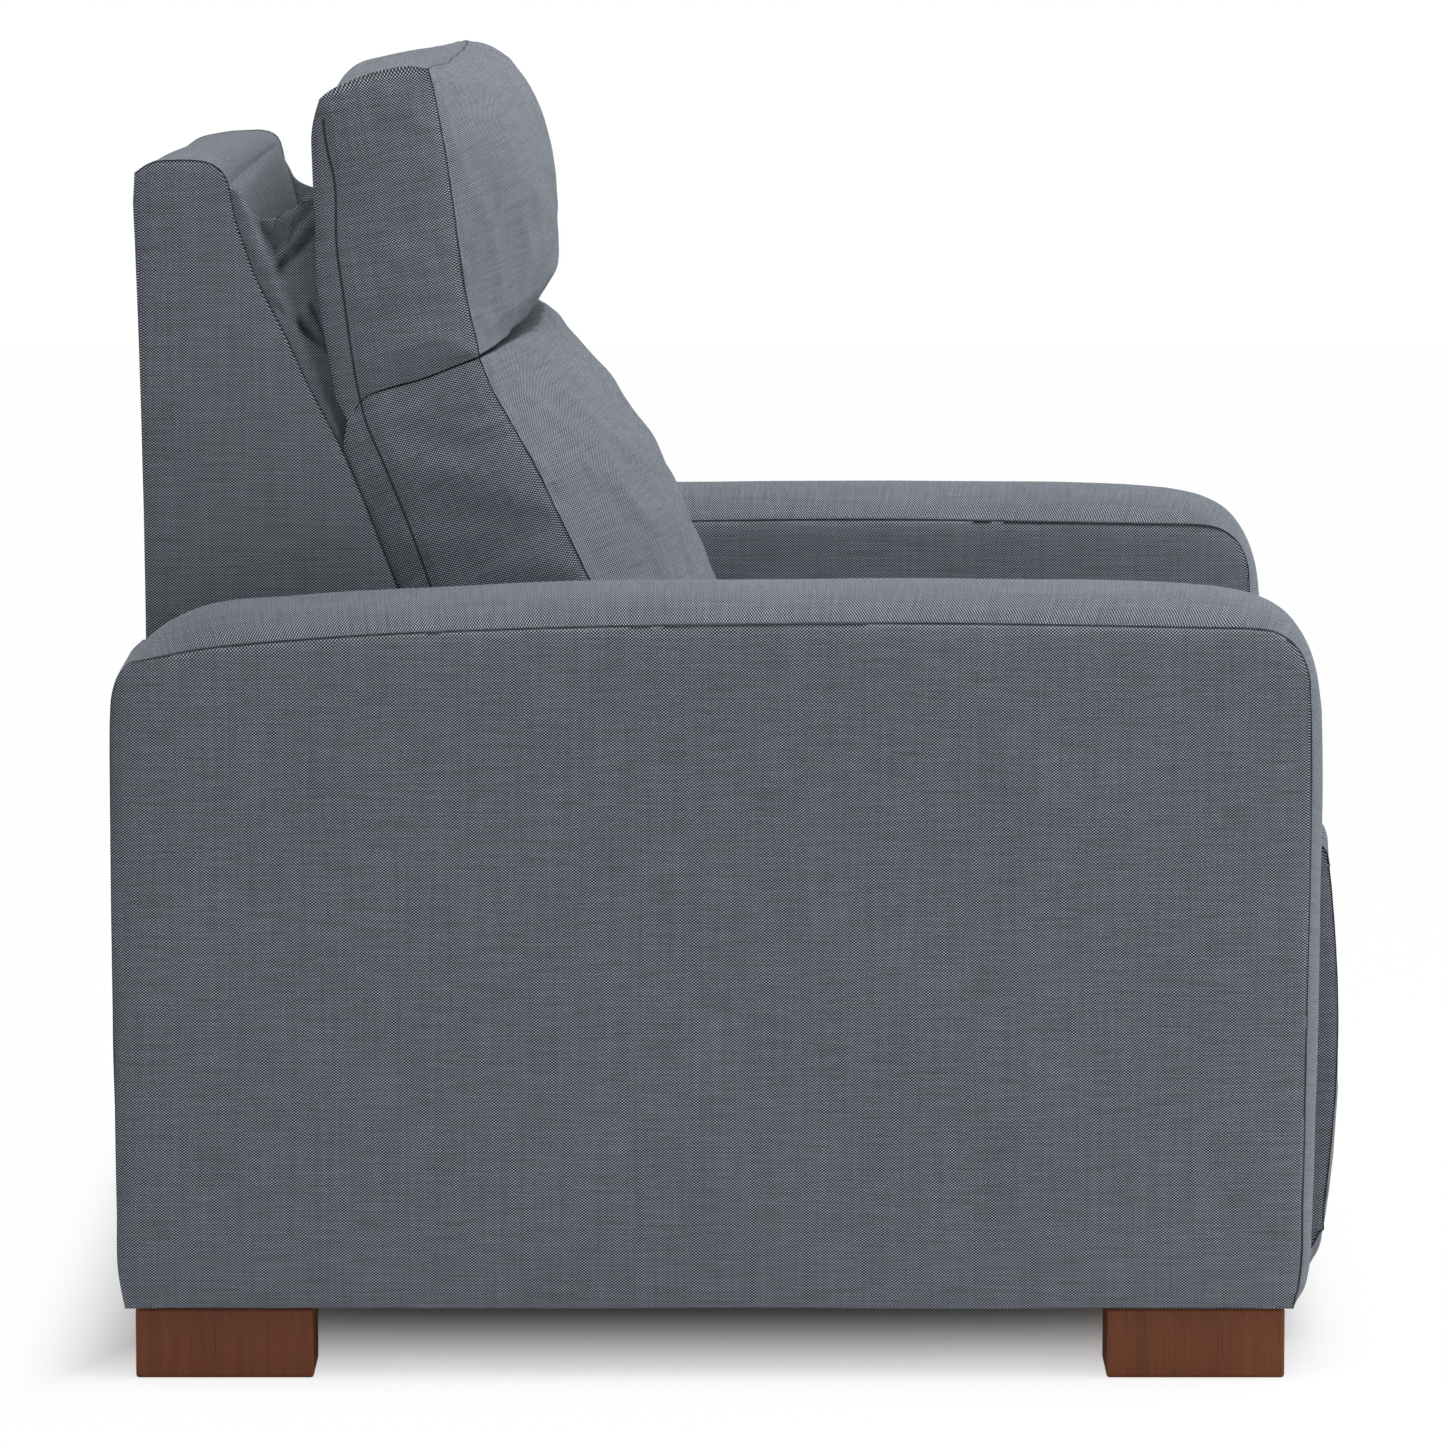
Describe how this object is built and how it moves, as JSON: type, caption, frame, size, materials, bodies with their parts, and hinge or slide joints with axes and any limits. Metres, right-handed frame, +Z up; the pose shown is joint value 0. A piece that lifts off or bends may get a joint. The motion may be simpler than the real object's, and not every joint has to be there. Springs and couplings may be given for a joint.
{
  "type": "power recliner armchair",
  "caption": "Upholstered armchair with block feet whose seat glides forward as the back leans, with a driven footrest and a tilting headrest.",
  "frame": {"origin": "on the floor, at the bottom centre of the closed chair's bounding box", "axes": "+X towards the sitter's left, -Y towards the front, +Z up"},
  "size_m": [0.89, 1.026, 1.063],
  "materials": {
    "tweed": "woven tweed",
    "walnut": "stained satin",
    "plywood": "raw",
    "zinc": "zinc plated",
    "black_steel": "semi-gloss powder coat",
    "plastic": "moulded",
    "webbing": "woven webbing"
  },
  "bodies": {
    "base": {"arm_cover_left": "tweed", "arm_cover_right": "tweed", "arm_frame_left": "plywood", "arm_frame_right": "plywood", "foot_front_left": "walnut", "foot_front_right": "walnut", "foot_rear_left": "walnut", "foot_rear_right": "walnut", "front_cross_rail": "plywood", "rear_cross_rail": "plywood", "rear_panel": "tweed", "glide_channel_left": "zinc", "glide_channel_right": "zinc", "control_box": "plastic", "power_inlet": "plastic", "control_bezel": "plastic"},
    "carriage": {"side_plate_left": "black_steel", "side_plate_right": "black_steel", "glide_strip_left": "plastic", "glide_strip_right": "plastic", "seat_rail_left": "plywood", "seat_rail_right": "plywood", "seat_rail_front": "plywood", "seat_rail_rear": "plywood", "seat_deck": "webbing", "cross_tube": "black_steel", "seat_cushion": "tweed", "legrest_drive": "plastic", "recline_drive": "plastic"},
    "drive_arms": {"drive_shaft": "zinc"},
    "front_links": {"front_link_left": "black_steel", "front_link_right": "black_steel"},
    "guide_links": {"guide_link_left": "black_steel", "guide_link_right": "black_steel"},
    "footrest": {"footrest_board": "plywood", "footrest_pad": "tweed", "footrest_bracket_left": "black_steel", "footrest_bracket_right": "black_steel"},
    "legrest_nut": {"legrest_nut": "plastic"},
    "recline_nut": {"recline_nut": "plastic"},
    "back": {"outer_back": "tweed", "back_frame_left": "plywood", "back_frame_right": "plywood", "back_bracket_left": "black_steel", "back_bracket_right": "black_steel", "back_shelf": "plywood", "back_top_rail": "plywood", "back_webbing": "webbing", "recline_lever": "black_steel", "lumbar_cushion": "tweed", "headrest_gusset": "tweed", "headrest_drive": "plastic"},
    "headrest": {"headrest_hinge_bar": "zinc", "headrest_board": "plywood", "headrest_cushion": "tweed"},
    "headrest_rod": {"headrest_rod": "zinc"},
    "button_recline": {"button_recline": "plastic"},
    "button_close": {"button_close": "plastic"},
    "button_headrest_back": {"button_headrest_back": "plastic"},
    "button_headrest_forward": {"button_headrest_forward": "plastic"}
  },
  "joints": [
    {"name": "seat_glide", "type": "slide", "parent": "base", "child": "carriage", "axis": [0, -1, 0], "range_m": [0, 0.14]},
    {"name": "back_recline", "type": "hinge", "parent": "carriage", "child": "back", "pos_m": [0, 0.195, 0.37], "axis": [-1, 0, 0], "range_deg": [0, 35.01]},
    {"name": "recline_nut_slide", "type": "slide", "parent": "carriage", "child": "recline_nut", "axis": [0, -1, 0], "range_m": [0, 0.0646]},
    {"name": "legrest_drive_hinge", "type": "hinge", "parent": "carriage", "child": "drive_arms", "pos_m": [0, -0.34, 0.302], "axis": [-1, 0, 0], "range_deg": [0, 90]},
    {"name": "front_link_hinge", "type": "hinge", "parent": "drive_arms", "child": "front_links", "pos_m": [0, -0.31656, 0.16905], "axis": [-1, 0, 0], "range_deg": [-140.01, 0]},
    {"name": "footrest_hinge", "type": "hinge", "parent": "front_links", "child": "footrest", "pos_m": [0, -0.38206, 0.30953], "axis": [-1, 0, 0], "range_deg": [0, 140.01]},
    {"name": "guide_link_hinge", "type": "hinge", "parent": "carriage", "child": "guide_links", "pos_m": [0, -0.30621, 0.27991], "axis": [-1, 0, 0], "range_deg": [0, 87.19]},
    {"name": "legrest_nut_slide", "type": "slide", "parent": "carriage", "child": "legrest_nut", "axis": [0, -1, 0], "range_m": [0, 0.0711]},
    {"name": "headrest_tilt", "type": "hinge", "parent": "back", "child": "headrest", "pos_m": [0, 0.332, 0.745], "axis": [-1, 0, 0], "range_deg": [0, 15], "deforming": ["headrest_gusset"]},
    {"name": "headrest_rod_slide", "type": "slide", "parent": "back", "child": "headrest_rod", "axis": [0, 0, -1], "range_m": [0, 0.0158]},
    {"name": "button_recline_press", "type": "slide", "parent": "base", "child": "button_recline", "axis": [-1, 0, 0], "range_m": [0, 0.0015], "stiffness_N_per_m": 900},
    {"name": "button_close_press", "type": "slide", "parent": "base", "child": "button_close", "axis": [-1, 0, 0], "range_m": [0, 0.0015], "stiffness_N_per_m": 900},
    {"name": "button_headrest_back_press", "type": "slide", "parent": "base", "child": "button_headrest_back", "axis": [-1, 0, 0], "range_m": [0, 0.0015], "stiffness_N_per_m": 900},
    {"name": "button_headrest_forward_press", "type": "slide", "parent": "base", "child": "button_headrest_forward", "axis": [-1, 0, 0], "range_m": [0, 0.0015], "stiffness_N_per_m": 900}
  ],
  "couplings": [
    {"joint": "back_recline", "follows": "seat_glide", "rad_per_m": 4.3633},
    {"joint": "recline_nut_slide", "follows": "seat_glide", "ratio": 0.46077},
    {"joint": "front_link_hinge", "follows": "legrest_drive_hinge", "ratio": -1.5556},
    {"joint": "footrest_hinge", "follows": "legrest_drive_hinge", "ratio": 1.5556},
    {"joint": "guide_link_hinge", "follows": "legrest_drive_hinge", "ratio": 0.96867},
    {"joint": "legrest_nut_slide", "follows": "legrest_drive_hinge", "m_per_rad": 0.04522},
    {"joint": "headrest_rod_slide", "follows": "headrest_tilt", "m_per_rad": 0.06}
  ]
}
